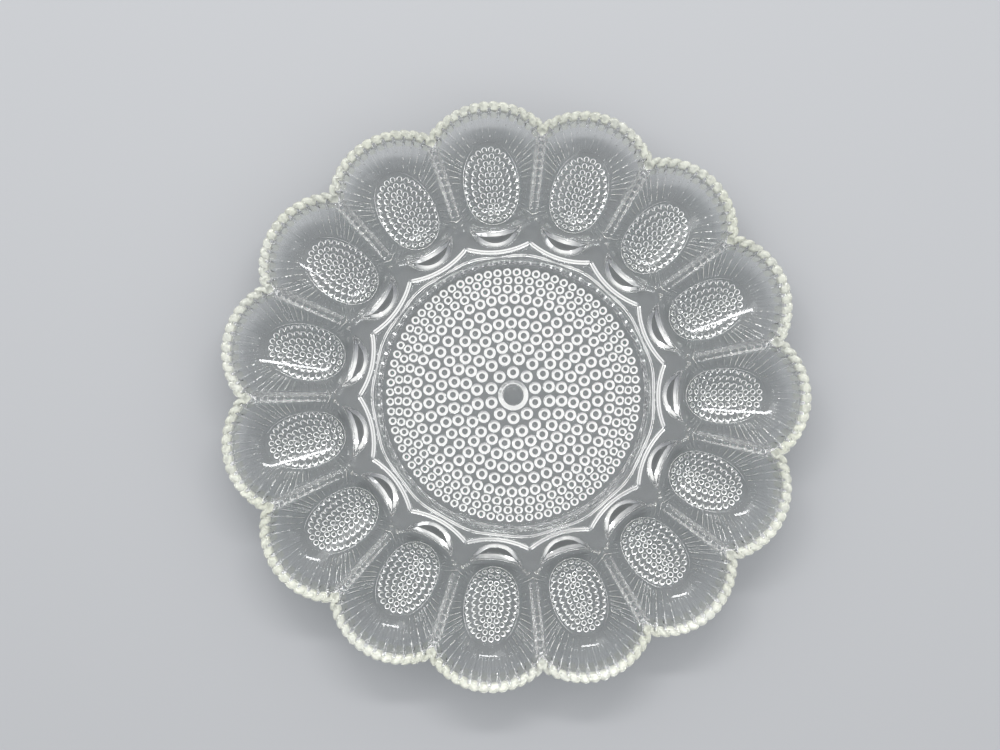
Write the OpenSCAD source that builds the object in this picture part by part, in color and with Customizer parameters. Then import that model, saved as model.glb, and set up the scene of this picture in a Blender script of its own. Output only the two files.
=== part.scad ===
// Deviled egg platter, pressed in one piece from clear glass: a hobnailed dish in the
// middle, a ring of egg wells round it and a scalloped, toothed rim at the edge.
// The origin is at the platter's centre, on the plane that its feet stand on. +Z is up
// and the first well lies along +X. Each node is one region of the pressing, and
// neighbouring regions meet face to face.

/* [Platter] */
// Diameter over the tips of the scallops
platter_d = 280; // [264:1:300]
// Depth of the notches between the scallops
notch_depth = 9.6; // [7:0.1:14]
// Number of egg wells
well_count = 15; // [14:1:16]
// Height of the scallop tips over the table
tip_z = 30; // [27:0.5:34]
// Height of the land between the dish and the wells
land_z = 15; // [14.2:0.1:17]
// Thickness of the wells' glass
glass_t = 4.2; // [3.4:0.1:4.6]
// Width of the raised bead along the rim, without its teeth
rim_w = 5.2; // [4:0.1:7]
// Height of the rim's bead over the wells' glass
rim_rise = 0.8; // [0.4:0.1:1.4]
// Extra glass below the rim
rim_drop = 0.8; // [0.4:0.1:1.6]

/* [Rim teeth] */
// Number of teeth along one scallop
tooth_count = 13; // [9:1:15]
// Radius of the rounded gap between two teeth
gap_r = 1.5; // [1.1:0.1:1.7]
// Depth of the gap between two teeth
gap_depth = 0.9; // [0.5:0.1:1]

/* [Dish] */
// Radius of the dish's flat floor
dish_r = 63; // [61.5:0.5:64]
// Height of the dish's floor over the table
floor_z = 8; // [7:0.1:9]
// Thickness of the dish's floor
floor_t = 4.4; // [3.6:0.1:4.8]
// Width of the sloping wall round the dish, as seen from above
wall_run = 3.3; // [2.8:0.1:3.5]
// Height of the ridge's top over the land
ridge_rise = 1.6; // [0.8:0.1:2.4]
// Width of the ridge's top in line with a well
ridge_w = 0.6; // [0.3:0.05:1.1]
// How much wider the ridge is at the cusps between wells
lobe_depth = 4.3; // [3.7:0.1:5.1]

/* [Egg wells] */
// Width of the land from the ridge's cusps to the wells
land_w = 8.5; // [7.5:0.1:9.8]
// Width of the crest between two wells
crest_w = 2.6; // [1.8:0.1:4]
// Height of a well's axis over the crest, square to the crest
axis_rise = 9; // [7.5:0.5:10]
// Length of the steep inner end of a well
near_end = 8; // [7:0.5:10]
// Length of the sloping outer end of a well
far_end = 20; // [17:0.5:22]
// Diameter of the small pit at the outer end of each crest
pit_d = 4; // [2.5:0.1:4.6]
// Depth of that pit
pit_depth = 1.1; // [0.6:0.1:1.4]

/* [Hobnails] */
// Distance from the button's edge to the middle of the first ring of hobnails
first_ring_gap = 4.3; // [3.9:0.05:4.8]
// Distance from the middle of the last ring to the edge of the dish's floor
last_ring_gap = 4.25; // [3.2:0.05:6]
// Space between two rings of large hobnails
hob_space = 0.35; // [0.2:0.05:1.2]
// Number of hobnails in each ring of large ones
hob_counts = [10, 16, 23, 29, 36, 40, 48];
// Distance between the rings of small hobnails as a share of the large ones'
small_ring_share = 0.687; // [0.65:0.001:0.7]
// Space between two rings of small hobnails
small_hob_space = 0.15; // [0.1:0.05:0.7]
// Number of hobnails in each ring of small ones
small_hob_counts = [60, 69, 80];
// Height of the dish's hobnails
hob_h = 1; // [0.6:0.1:1.4]
// Diameter of the button in the middle of the dish
button_d = 14.4; // [12:0.1:15.4]
// Diameter of the button's flat face
button_face_d = 9.4; // [7:0.1:10.5]
// Height of the button
button_h = 1.4; // [0.8:0.1:2]
// Space between the hobnails under a well
well_hob_space = 0.4; // [0.2:0.05:0.9]
// Distance between the middles of the hobnails under a well
well_hob_gap = 3.5; // [3.2:0.05:4]
// Height of the wells' hobnails
well_hob_h = 0.7; // [0.4:0.05:0.9]
// Width of that patch
patch_w = 23; // [18:0.5:25]
// Distance from the well's inner edge to the patch, along the well's axis
patch_start = 2.6; // [2:0.1:6]
// Distance from the patch to the well's outer edge, along the well's axis
patch_end = 19; // [17:0.5:24]

/* [Feet] */
// Distance from the underside of the dish's wall to a crescent foot
foot_gap = 0.25; // [0.1:0.05:1]
// Width of a foot from tip to tip
foot_w = 24.4; // [20:0.1:25.5]
// Depth of a foot's outer curve from its middle to its tips
foot_bow = 10.2; // [9.4:0.1:11]
// Depth of a foot's inner curve from its middle to its tips
foot_hollow = 2.7; // [2:0.1:3.4]
// How far a foot's walls draw in from the glass down to the table
foot_draft = 1.7; // [1:0.1:2.1]

/* [Hidden] */
// How far a cutting shape runs past what it cuts
over = 1;
$fn = 96;
// Sides of the circle that each hobnail is turned with
hob_fn = 24;
CLEAR = [0.84, 0.88, 0.87, 0.6];
RIM = [0.87, 0.88, 0.81, 0.8];
half_pitch = 180 / well_count;
tip_r = platter_d / 2;
notch_r = tip_r - notch_depth;
// The scallop's circle meets the tip and both notches.
scallop_x = (tip_r * tip_r - notch_r * notch_r) / 2 / (tip_r - notch_r * cos(half_pitch));
scallop_r = tip_r - scallop_x;
band_r = scallop_r - rim_w;
// Each ring starts where the one inside it ends: floor, wall, ridge, land, wells.
lobe_near_r = dish_r + wall_run + ridge_w;
lobe_cusp_r = lobe_near_r + lobe_depth;
well_near_r = lobe_cusp_r + land_w;
// The ridge's outer edge is a circle for each well, through one near point and two cusps.
lobe_x = (lobe_cusp_r * lobe_cusp_r - lobe_near_r * lobe_near_r)
    / 2 / (lobe_cusp_r * cos(half_pitch) - lobe_near_r);
lobe_r = lobe_x - lobe_near_r;
// The crests and the rim rise outwards on one cone.
crest_slope = (tip_z - rim_rise - land_z) / (tip_r - well_near_r);
tilt = atan(crest_slope);
land_t = glass_t;
floor_under_z = floor_z - floor_t;
land_under_z = land_z - land_t;
ridge_z = land_z + ridge_rise;
// The wall's underside runs beside its top, from the floor's underside to the land's.
wall_foot_r = dish_r + wall_run / 2;
wall_head_r = lobe_cusp_r - wall_run / 2;
// A well's opening, measured along the crest.
well_l = (scallop_x + band_r - well_near_r) / cos(tilt);
patch_l = well_l - patch_start - patch_end;
patch_mid = patch_start + patch_l / 2;
button_ring_z = floor_under_z - button_h;
foot_r = (foot_w * foot_w / 4 + foot_bow * foot_bow) / 2 / foot_bow;
hollow_r = (foot_w * foot_w / 4 + foot_hollow * foot_hollow) / 2 / foot_hollow;
foot_near_r = wall_head_r + foot_gap;
foot_x = foot_near_r + foot_r;
hollow_x = foot_near_r + foot_bow - foot_hollow + hollow_r;
pit_r = (pit_d * pit_d / 4 + pit_depth * pit_depth) / 2 / pit_depth;
// The inner edges of two neighbouring rim bands meet at this distance from the centre.
pit_x = scallop_x * cos(half_pitch)
    + sqrt(band_r * band_r - pow(scallop_x * sin(half_pitch), 2)) + pit_depth;
// Half the angle that one scallop's arc spans, seen from the scallop's own centre.
scallop_half = atan2(notch_r * sin(half_pitch), notch_r * cos(half_pitch) - scallop_x);
// Points along each oval end of a well's outline, and along its straight side.
cap_steps = 6;
side_steps = 2;

function two(k) = str(k < 10 ? "0" : "", k);
function crest_z(r) = land_z + max(0, r - well_near_r) * crest_slope;

// Radius of a well about its own axis at the distance u along it, before its ends close.
// Its sides run beside the planes between the wells, crest_w apart at the crest.
function side_r(u) =
    norm([(well_near_r + u * cos(tilt)) * tan(half_pitch) - crest_w / 2, axis_rise]);
// Half the length of the oval end that starts at the side radius side and has come
// down to axis_rise after the length l.
function end_half(l, side) = l / sqrt(1 - pow(axis_rise / side, 2));
near_half = end_half(near_end, side_r(0));
far_half = end_half(far_end, side_r(well_l));

// Points [radius, distance along the axis] down one side of a well, from end to end.
function near_point(a) =
    let (u = near_end - near_half * cos(a)) [side_r(u) * sin(a), u];
function far_point(a) =
    let (u = well_l - far_end + far_half * cos(a)) [side_r(u) * sin(a), u];
function side_point(s) =
    let (u = near_end + (well_l - far_end - near_end) * s) [side_r(u), u];
well_line = concat(
    [for (i = [0 : cap_steps - 1]) near_point(90 * i / cap_steps)],
    [for (i = [0 : side_steps]) side_point(i / side_steps)],
    [for (i = [cap_steps - 1 : -1 : 0]) far_point(90 * i / cap_steps)]
);
last = len(well_line) - 1;

// The same line moved outwards by t, square to itself.
function along(i) = well_line[min(last, i + 1)] - well_line[max(0, i - 1)];
function outward(i) =
    i == 0 ? [0, -1] : i == last ? [0, 1] : [along(i)[1], -along(i)[0]] / norm(along(i));
function grown_line(t) = [for (i = [0 : last]) well_line[i] + t * outward(i)];

// Radius of the grown well at the distance u along its axis, between two of its points.
function radius_at(line, u) = lookup(u, [for (p = line) [p[1], p[0]]]);

module at_well(k) {
    rotate([0, 0, (k - 1) * 2 * half_pitch]) children();
}

// Lays a body of revolution that is drawn about Z along a well's axis.
module along_well() {
    translate([well_near_r, 0, land_z])
        rotate([0, -tilt, 0])
            translate([0, 0, axis_rise])
                rotate([0, 90, 0])
                    children();
}

module well_body(t) {
    along_well() rotate_extrude() polygon(grown_line(t));
}

// The outline that one well's share of the platter has, between the planes through its
// two crests.
module sector(r) {
    polygon([
        [0, 0],
        [r, -r * tan(half_pitch)],
        [r, r * tan(half_pitch)]
    ]);
}

module band_outline(r_in, r_out) {
    intersection() {
        difference() {
            translate([scallop_x, 0]) circle(r_out);
            translate([scallop_x, 0]) circle(r_in);
        }
        sector(platter_d);
        translate([scallop_x, -platter_d]) square([platter_d, 2 * platter_d]);
    }
}

module well_outline() {
    intersection() {
        sector(platter_d);
        translate([lobe_x, 0]) circle(lobe_r);
        union() {
            translate([scallop_x, 0]) circle(band_r);
            translate([0, -platter_d]) square([scallop_x, 2 * platter_d]);
        }
    }
}

// The glass over the undersides of the wall, land and crests, up to the height top.
module over_underside(drop, top) {
    rotate_extrude()
        polygon([
            [wall_foot_r, floor_under_z],
            [wall_head_r, land_under_z],
            [well_near_r, land_under_z],
            [platter_d, crest_z(platter_d) - land_t - drop],
            [platter_d, top],
            [wall_foot_r, top]
        ]);
}

// All the space below the top of the land and crests, raised by rise.
module under_crests(rise) {
    rotate_extrude()
        polygon([
            [0, -over],
            [platter_d, -over],
            [platter_d, crest_z(platter_d) + rise],
            [well_near_r, land_z + rise],
            [0, land_z + rise]
        ]);
}

// The small round pits at the outer ends of the two crests beside a well.
module pits() {
    for (side = [-1, 1])
        rotate([0, 0, side * half_pitch])
            translate([pit_x, 0, crest_z(pit_x) + pit_r - pit_depth])
                sphere(pit_r);
}

// Radius of the sphere whose cap is d across and h high.
function dome_r(d, h) = (d * d / 4 + h * h) / 2 / h;

// A dome d across that hangs h below the plane at z = 0, with its flat back on the plane.
module dome(d, h) {
    r = dome_r(d, h);
    rotate_extrude($fn = hob_fn)
        intersection() {
            translate([0, r - h]) circle(r);
            translate([0, -h]) square([r, h]);
        }
}

module centre_dish() {
    color(CLEAR)
        translate([0, 0, floor_under_z])
            cylinder(h = floor_t, r = dish_r);
}

module centre_button() {
    color(CLEAR)
        translate([0, 0, button_ring_z])
            cylinder(h = button_h, d1 = button_face_d, d2 = button_d);
}

module hob_ring(r, count, d) {
    for (i = [0 : count - 1])
        rotate([0, 0, 360 * i / count])
            translate([r, 0, floor_under_z])
                dome(d, hob_h);
}

// The rings fill the floor from the button to the wall, the last ones closer together.
large_rings = len(hob_counts);
small_rings = len(small_hob_counts);
hob_first_r = button_d / 2 + first_ring_gap;
gap_shares = large_rings - 1 / 2 + (small_rings - 1 / 2) * small_ring_share;
hob_ring_gap = (dish_r - last_ring_gap - hob_first_r) / gap_shares;
small_ring_gap = hob_ring_gap * small_ring_share;
hob_d = hob_ring_gap - hob_space;
small_hob_d = small_ring_gap - small_hob_space;
last_large_r = hob_first_r + (large_rings - 1) * hob_ring_gap;
first_small_r = last_large_r + (hob_ring_gap + small_ring_gap) / 2;

module dish_hobnails() {
    color(CLEAR) {
        for (i = [0 : large_rings - 1])
            hob_ring(hob_first_r + i * hob_ring_gap, hob_counts[i], hob_d);
        for (i = [0 : small_rings - 1])
            hob_ring(first_small_r + i * small_ring_gap, small_hob_counts[i], small_hob_d);
    }
}

// The dish's wall and the ridge on top of it. Its outer edge is cut to a lobe for each well.
module dish_ridge() {
    color(CLEAR)
        difference() {
            rotate_extrude()
                polygon([
                    [dish_r, floor_under_z],
                    [wall_foot_r, floor_under_z],
                    [wall_head_r, land_under_z],
                    [lobe_cusp_r + over, land_under_z],
                    [lobe_cusp_r + over, ridge_z],
                    [dish_r + wall_run, ridge_z],
                    [dish_r, floor_z]
                ]);
            for (k = [1 : well_count])
                at_well(k)
                    translate([lobe_x, 0, 0])
                        cylinder(h = 2 * tip_z, r = lobe_r);
        }
}

module egg_well(k) {
    color(CLEAR)
        at_well(k)
            difference() {
                intersection() {
                    union() {
                        over_underside(0, 2 * tip_z);
                        well_body(glass_t);
                    }
                    under_crests(0);
                    linear_extrude(2 * tip_z) well_outline();
                }
                well_body(0);
                pits();
            }
}

module rim_scallop(k) {
    color(RIM)
        at_well(k)
            difference() {
                intersection() {
                    union() {
                        over_underside(rim_drop, 2 * tip_z);
                        well_body(glass_t);
                    }
                    under_crests(rim_rise);
                    linear_extrude(2 * tip_z) band_outline(band_r, scallop_r);
                }
                well_body(0);
                tooth_gaps();
            }
}

module tooth_gaps() {
    for (i = [1 : tooth_count - 1])
        translate([scallop_x, 0, 0])
            rotate([0, 0, scallop_half * (2 * i / tooth_count - 1)])
                translate([scallop_r + gap_r - gap_depth, 0, 0])
                    cylinder(h = 2 * tip_z, r = gap_r);
}

// Rows of hobnails, staggered, over the oval patch under a well. Each stands square to
// the well's glass.
well_hob_d = well_hob_gap - well_hob_space;
row_gap = well_hob_gap * cos(30);
patch_rows = floor(patch_l / row_gap);
patch_cols = ceil(patch_w / well_hob_gap);
under_line = grown_line(glass_t);

module well_hobs() {
    for (i = [0 : patch_rows], j = [-patch_cols : patch_cols]) {
        along_row = (j + (i % 2) / 2) * well_hob_gap;
        u = patch_start + i * row_gap;
        out = norm([(u - patch_mid) / patch_l, along_row / patch_w]);
        if (out < 1 / 2)
            well_hob(u, along_row);
    }
}

module well_hob(u, y) {
    r = radius_at(under_line, u);
    r_next = radius_at(under_line, u + row_gap / 2);
    r_before = radius_at(under_line, u - row_gap / 2);
    lean = atan2(r_next - r_before, row_gap);
    rotate([0, 0, y / r * 180 / PI])
        translate([r, 0, u])
            rotate([0, -90 - lean, 0])
                dome(well_hob_d, well_hob_h);
}

module well_hobnails(k) {
    color(CLEAR)
        at_well(k)
            along_well() well_hobs();
}

// A crescent that wraps round the inner end of a well, widest where it meets the glass.
module crescent_foot() {
    difference() {
        translate([foot_x, 0, 0])
            cylinder(h = land_under_z, r1 = foot_r - foot_draft, r2 = foot_r);
        translate([hollow_x, 0, 0])
            cylinder(h = land_under_z, r1 = hollow_r + foot_draft, r2 = hollow_r);
        over_underside(0, 2 * tip_z);
        well_body(glass_t);
    }
}

module crescent_feet() {
    color(CLEAR)
        for (k = [1 : well_count])
            at_well(k) crescent_foot();
}

WELLS = [for (k = [1 : well_count]) str("egg_well_", two(k))];
HOBS = [for (k = [1 : well_count]) str("well_hobnails_", two(k))];
RIMS = [for (k = [1 : well_count]) str("rim_scallop_", two(k))];

centre_dish();
centre_button();
dish_hobnails();
dish_ridge();
crescent_feet();
for (k = [1 : well_count]) egg_well(k);
for (k = [1 : well_count]) well_hobnails(k);
for (k = [1 : well_count]) rim_scallop(k);
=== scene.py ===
"""Looks of the deviled egg platter: one pressing of clear glass, built region by region.

All shape code works in millimetres, in the frame of one well: the well's axis lies along
+X and its share of the platter runs 12 degrees to each side. The glass is the space where
two functions are negative: over_glass (what lies above the glass) and under_glass (what
lies below it). Every skin is solved from them, and takes its normals from them.
"""

import math

import bpy
import numpy as np
from mathutils import Matrix, Vector
from mathutils.geometry import delaunay_2d_cdt


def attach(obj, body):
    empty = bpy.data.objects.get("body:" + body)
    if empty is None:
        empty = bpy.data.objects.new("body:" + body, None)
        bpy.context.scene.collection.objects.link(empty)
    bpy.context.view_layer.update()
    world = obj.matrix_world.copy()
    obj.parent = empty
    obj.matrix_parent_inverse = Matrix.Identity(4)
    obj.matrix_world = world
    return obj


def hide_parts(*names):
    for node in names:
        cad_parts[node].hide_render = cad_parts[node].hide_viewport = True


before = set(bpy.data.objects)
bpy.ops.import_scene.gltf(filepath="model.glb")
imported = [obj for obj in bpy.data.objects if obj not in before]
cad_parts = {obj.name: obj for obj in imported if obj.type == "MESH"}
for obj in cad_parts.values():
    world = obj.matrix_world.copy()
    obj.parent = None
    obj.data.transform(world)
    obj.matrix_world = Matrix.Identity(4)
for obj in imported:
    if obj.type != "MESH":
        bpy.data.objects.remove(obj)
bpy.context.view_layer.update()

MM = 0.001

# Sizes, as in the CAD source.
WELLS = 15
TIP_R = 140.0
NOTCH_R = 130.4
TIP_Z = 30.0
LAND_Z = 15.0
GLASS_T = 4.2
RIM_W = 5.2
RIM_RISE = 0.8
RIM_DROP = 0.8
TEETH = 13
GAP_DEPTH = 0.9
DISH_R = 63.0
FLOOR_Z = 8.0
FLOOR_T = 4.4
RIDGE_RISE = 1.6
LOBE_NEAR_R = 66.9
LOBE_CUSP_R = 71.2
WELL_NEAR_R = 79.7
CREST_W = 2.6
AXIS_RISE = 9.0
NEAR_END = 8.0
FAR_END = 20.0
PIT_D = 4.0
PIT_DEPTH = 1.1
FOOT_NEAR_R = 70.6
FOOT_W = 24.4
FOOT_BOW = 10.2
FOOT_HOLLOW = 2.7

# Rim: notches between the teeth, ribs across the band, and its round nose.
NOTCH_CUT = 2.1
NOTCH_FROM = 0.38
NOTCH_SOFT = 0.16
CORNER_TEETH = 0.6
RISE_FROM, RISE_SOFT = 0.6, 0.4
RIB_FROM, RIB_SOFT = 0.9, 0.6
RIB_DEPTH = 0.3
DROP_FROM, DROP_SOFT = 0.9, 0.5
TOOTH_RIB_FROM, TOOTH_RIB_SOFT = 0.8, 0.45
TOOTH_RIB_H = 0.9
NOSE_ROUND = 2.0
NOSE_SOFT = 2.4
EDGE_INSET = 0.02

# Dish's wall, ridge and feet: where the slopes bend, and how softly.
COVE_R, COVE_SOFT = 62.6, 1.6
RIDGE_R, RIDGE_SOFT = 64.8, 0.4
WALL_FOOT = 64.2
WALL_HEAD = 65.3
WALL_SOFT = 0.4
LAND_SOFT = 1.0
LOBE_SOFT = 0.8
LOBE_STEP = 0.35
WAVE_R = 66.6
WAVE_SWING = 0.4
WAVE_H = 0.75
LOBE_BEAD = 1.65
LOBE_BEAD_H = 1.05
BEAD_FLAT = 0.03
FOOT_BEVEL = 2.4
FOOT_DRAFT = 0.3

# How softly the wells, the pits and the feet run into the glass.
WELL_SOFT = 1.5
PIT_SOFT = 0.5
UNDER_SOFT = 2.5
FOOT_SOFT = 0.6
BEVEL_SOFT = 0.3
SOLE_SOFT = 0.25

# How much a well's side grows per mm of glass, and the glass's index of refraction.
SIDE_GROW = 1.02
IOR = 1.51

# Values that follow from the sizes.
HALF = math.pi / WELLS
TAN_HALF = math.tan(HALF)
SCALLOP_X = (TIP_R ** 2 - NOTCH_R ** 2) / 2 / (TIP_R - NOTCH_R * math.cos(HALF))
SCALLOP_R = TIP_R - SCALLOP_X
BAND_R = SCALLOP_R - RIM_W
LOBE_X = (LOBE_CUSP_R ** 2 - LOBE_NEAR_R ** 2) / 2
LOBE_X = LOBE_X / (LOBE_CUSP_R * math.cos(HALF) - LOBE_NEAR_R)
LOBE_R = LOBE_X - LOBE_NEAR_R
SLOPE = (TIP_Z - RIM_RISE - LAND_Z) / (TIP_R - WELL_NEAR_R)
TILT = math.atan(SLOPE)
COS_T = math.cos(TILT)
SIN_T = math.sin(TILT)
FLOOR_UNDER = FLOOR_Z - FLOOR_T
LAND_UNDER = LAND_Z - GLASS_T
RIDGE_Z = LAND_Z + RIDGE_RISE
WELL_L = (SCALLOP_X + BAND_R - WELL_NEAR_R) / COS_T
FOOT_R = (FOOT_W ** 2 / 4 + FOOT_BOW ** 2) / 2 / FOOT_BOW
HOLLOW_R = (FOOT_W ** 2 / 4 + FOOT_HOLLOW ** 2) / 2 / FOOT_HOLLOW
FOOT_X = FOOT_NEAR_R + FOOT_R
HOLLOW_X = FOOT_NEAR_R + FOOT_BOW - FOOT_HOLLOW + HOLLOW_R
PIT_R = (PIT_D ** 2 / 4 + PIT_DEPTH ** 2) / 2 / PIT_DEPTH
# Where the inner edges of two neighbouring rim bands meet on the plane between wells.
CORNER_R = SCALLOP_X * math.cos(HALF)
CORNER_R += math.sqrt(BAND_R ** 2 - (SCALLOP_X * math.sin(HALF)) ** 2)
PIT_X = CORNER_R + PIT_DEPTH
PIT_Z = LAND_Z + (PIT_X - WELL_NEAR_R) * SLOPE + PIT_R - PIT_DEPTH
OUT_HALF = math.atan2(NOTCH_R * math.sin(HALF), NOTCH_R * math.cos(HALF) - SCALLOP_X)
IN_HALF = math.atan2(CORNER_R * math.sin(HALF), CORNER_R * math.cos(HALF) - SCALLOP_X)
TOOTH_PITCH = (BAND_R + SCALLOP_R) * OUT_HALF / TEETH


def smax(a, b, k):
    """The larger of two signed distances, with a soft join of width k."""
    h = np.maximum(k - np.abs(a - b), 0) / k
    return np.maximum(a, b) + h * h * k / 4


def smin(a, b, k):
    return -smax(-a, -b, k)


def bend(t, w):
    """0 below 0 and t above it, with a soft bend of half width w."""
    return np.where(t < -w, 0, np.where(t > w, t, (t + w) ** 2 / (4 * w)))


def step(t, w):
    """0 to 1 over a width of 2w, with soft ends."""
    s = np.clip((t + w) / (2 * w), 0, 1)
    return s * s * (3 - 2 * s)


def vee(d, high):
    """Section of a bead with flanks of 45 degrees, at the distance d from its middle."""
    return np.clip(high - np.abs(d), 0, high - BEAD_FLAT)


def halve(outside, lo, hi, rounds=40):
    """Bounds closing in on where outside turns from false to true, for arrays of places."""
    for _ in range(rounds):
        mid = (lo + hi) / 2
        out = outside(mid)
        hi = np.where(out, mid, hi)
        lo = np.where(out, lo, mid)
    return lo, hi


def full_turn(count):
    return np.linspace(0, 2 * math.pi, count + 1)[:-1]


def run_along(x, y):
    """Length of a line up to each of its points."""
    return np.concatenate([[0], np.cumsum(np.hypot(np.diff(x), np.diff(y)))])


# The well's own frame: u along its axis, w square to the axis and upwards.
def side_r(u):
    """Radius of the well's body at u, without its round ends."""
    return np.hypot((WELL_NEAR_R + u * COS_T) * TAN_HALF - CREST_W / 2, AXIS_RISE)


SIDE_SLOPE = COS_T * TAN_HALF


def end_half(length, side):
    """Half length of a round end that is cut by the land at the given length."""
    return length / math.sqrt(1 - (AXIS_RISE / side) ** 2)


NEAR_HALF = end_half(NEAR_END, float(side_r(0)))
FAR_HALF = end_half(FAR_END, float(side_r(WELL_L)))
FAR_U = WELL_L - FAR_END


def well_frame(x, y, z):
    dx, dz = x - WELL_NEAR_R, z - LAND_Z
    u = dx * COS_T + dz * SIN_T
    w = dz * COS_T - dx * SIN_T - AXIS_RISE
    return u, w


def body(u, rho, grow):
    """Signed distance to the well's body of revolution, grown by a thickness."""
    side = side_r(u) + grow * SIDE_GROW
    near = (NEAR_END - u) / (NEAR_HALF + grow)
    far = (u - FAR_U) / (FAR_HALF + grow)
    c = np.maximum(np.maximum(near, far), 0)
    dc = np.where(near > far, -1 / (NEAR_HALF + grow), 1 / (FAR_HALF + grow))
    s = rho / side
    q = np.sqrt(c * c + s * s) + 1e-9
    du = (c * dc - s * s * SIDE_SLOPE / side) / q
    dr = s / side / q
    return (q - 1) / np.maximum(np.hypot(du, dr), 1e-6)


def neighbour(x, y):
    """The same point in the frame of the next well, on the side that the point is on."""
    y = np.abs(y)
    c, s = math.cos(2 * HALF), math.sin(2 * HALF)
    return x * c + y * s, y * c - x * s


def lobe_out(x, y):
    """How far inside the lobes' circles a point is: above 0 on the land, below on the ridge."""
    own = LOBE_R - np.hypot(x - LOBE_X, y)
    xn, yn = neighbour(x, y)
    return smax(own, LOBE_R - np.hypot(xn - LOBE_X, yn), LOBE_SOFT)


def tooth_phase(x, y):
    """Count of the rim's teeth, by the angle about the scallop's own centre."""
    d = np.hypot(x - SCALLOP_X, y) - BAND_R
    share = np.clip(d / RIM_W, -3, 1)
    half = IN_HALF + (OUT_HALF - IN_HALF) * share
    return np.arctan2(y, x - SCALLOP_X) / half * TEETH / 2


# Squares of the height of a reed's arc over the arc's own centre: on the crown, in the valley.
CROWN_2 = 1.6
VALLEY_2 = 0.6


def reed(phase):
    """Section of a convex reed: 1 on its crown, 0 in the valley between two."""
    t = phase - np.round(phase)
    low = math.sqrt(VALLEY_2)
    return (np.sqrt(CROWN_2 - 4 * t * t) - low) / (math.sqrt(CROWN_2) - low)


def band(x, y):
    """How far a point is outside the inner edge of the scallop's band."""
    return np.hypot(np.maximum(x - SCALLOP_X, 0), y) - BAND_R


def valley(x, y):
    """0 on the crowns of the rim's teeth and 1 in the valleys between them."""
    return 1 - reed(tooth_phase(x, y))


def notch(x, y):
    """How far the band's inner edge is cut back in the square notches between the teeth."""
    return NOTCH_CUT * step(valley(x, y) - NOTCH_FROM, NOTCH_SOFT)


def seam_cut(phase):
    """How far the line between well and rim is cut back: as the notches, not at a corner."""
    deep = NOTCH_CUT * step(1 - NOTCH_FROM - reed(phase), NOTCH_SOFT)
    return np.where(np.abs(phase) < TEETH / 2 - CORNER_TEETH, deep, 0)


def bead(x, y):
    """Rise of the rim's bead, notched on its inner edge and ribbed across."""
    d = band(x, y)
    rise = RIM_RISE * step(d - RISE_FROM - notch(x, y), RISE_SOFT)
    return rise - RIB_DEPTH * valley(x, y) * step(d - RIB_FROM - notch(x, y), RIB_SOFT)


def top_z(x, y):
    """Height of the top before the wells are sunk into it."""
    r = np.hypot(x, y)
    wall = (RIDGE_Z - FLOOR_Z) / (RIDGE_R - COVE_R)
    z = FLOOR_Z + wall * (bend(r - COVE_R, COVE_SOFT) - bend(r - RIDGE_R, RIDGE_SOFT))
    z = z - RIDGE_RISE * step(lobe_out(x, y), LOBE_STEP)
    return z + SLOPE * bend(r - WELL_NEAR_R, LAND_SOFT) + bead(x, y)


def under_z(x, y):
    """Height of the underside before the wells' glass stands out of it."""
    r = np.hypot(x, y)
    wall = (LAND_UNDER - FLOOR_UNDER) / (WALL_HEAD - WALL_FOOT)
    z = FLOOR_UNDER + wall * (bend(r - WALL_FOOT, WALL_SOFT) - bend(r - WALL_HEAD, WALL_SOFT))
    wave = WAVE_R - WAVE_SWING * np.cos(WELLS * np.arctan2(y, x))
    z = z - vee(r - wave, WAVE_H) - vee(lobe_out(x, y) - LOBE_BEAD, LOBE_BEAD_H)
    d = band(x, y)
    drop = 0.5 * RIM_DROP * step(d - DROP_FROM - notch(x, y), DROP_SOFT)
    across = tooth_phase(x, y)
    across = (across - np.round(across)) * TOOTH_PITCH
    drop = drop + vee(across, TOOTH_RIB_H) * step(d - TOOTH_RIB_FROM, TOOTH_RIB_SOFT)
    return z + SLOPE * bend(r - WELL_NEAR_R, LAND_SOFT) - drop


def well_out(x, y, z, grow):
    """Signed distance to a well's body, grown by a thickness."""
    u, w = well_frame(x, y, z)
    return body(u, np.hypot(y, w), grow)


def over_glass(x, y, z):
    t = (z - top_z(x, y)) * COS_T
    t = smax(t, -well_out(x, y, z, 0), WELL_SOFT)
    t = smax(t, -well_out(*neighbour(x, y), z, 0), WELL_SOFT)
    c, s = math.cos(HALF), math.sin(HALF)
    along, across = x * c + np.abs(y) * s, np.abs(y) * c - x * s
    pit = np.sqrt((along - PIT_X) ** 2 + across ** 2 + (z - PIT_Z) ** 2) - PIT_R
    return smax(t, -pit, PIT_SOFT)


# Hobnails under a well: concentric ovals, each by its half sizes and its first one's phase.
FLANK = math.radians(46.2)
HOB_GAP = 3.25
HOB_D = 3.2
HOB_CORE = 0.95
HOB_SOFT = 0.1
OVAL_X = 100.2
OVALS = [(16.9, 11.2, 0.5), (13.8, 8.0, 0.5), (10.7, 4.8, 0.5), (7.6, 1.6, 0.0)]
# The part of a pair of hobnails, left over in an oval, that is rounded up to a pair.
PAIR_ROUND = 0.3


def line_tables():
    """The grown well's lower line: u, the radius there and the length along the line."""
    u = np.linspace(-6, WELL_L + 5, 4000)
    lo, hi = np.zeros_like(u), np.full_like(u, 60.0)
    lo, hi = halve(lambda rho: body(u, rho, GLASS_T) > 0, lo, hi, 50)
    r = (lo + hi) / 2
    keep = r > 4
    u, r = u[keep], r[keep]
    return u, r, run_along(u, r)


LINE_U, LINE_R, LINE_S = line_tables()


def run_at(u):
    return np.interp(u, LINE_U, LINE_S)


def grown_well(x, y, z):
    return well_out(x, y, z, GLASS_T)


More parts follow.
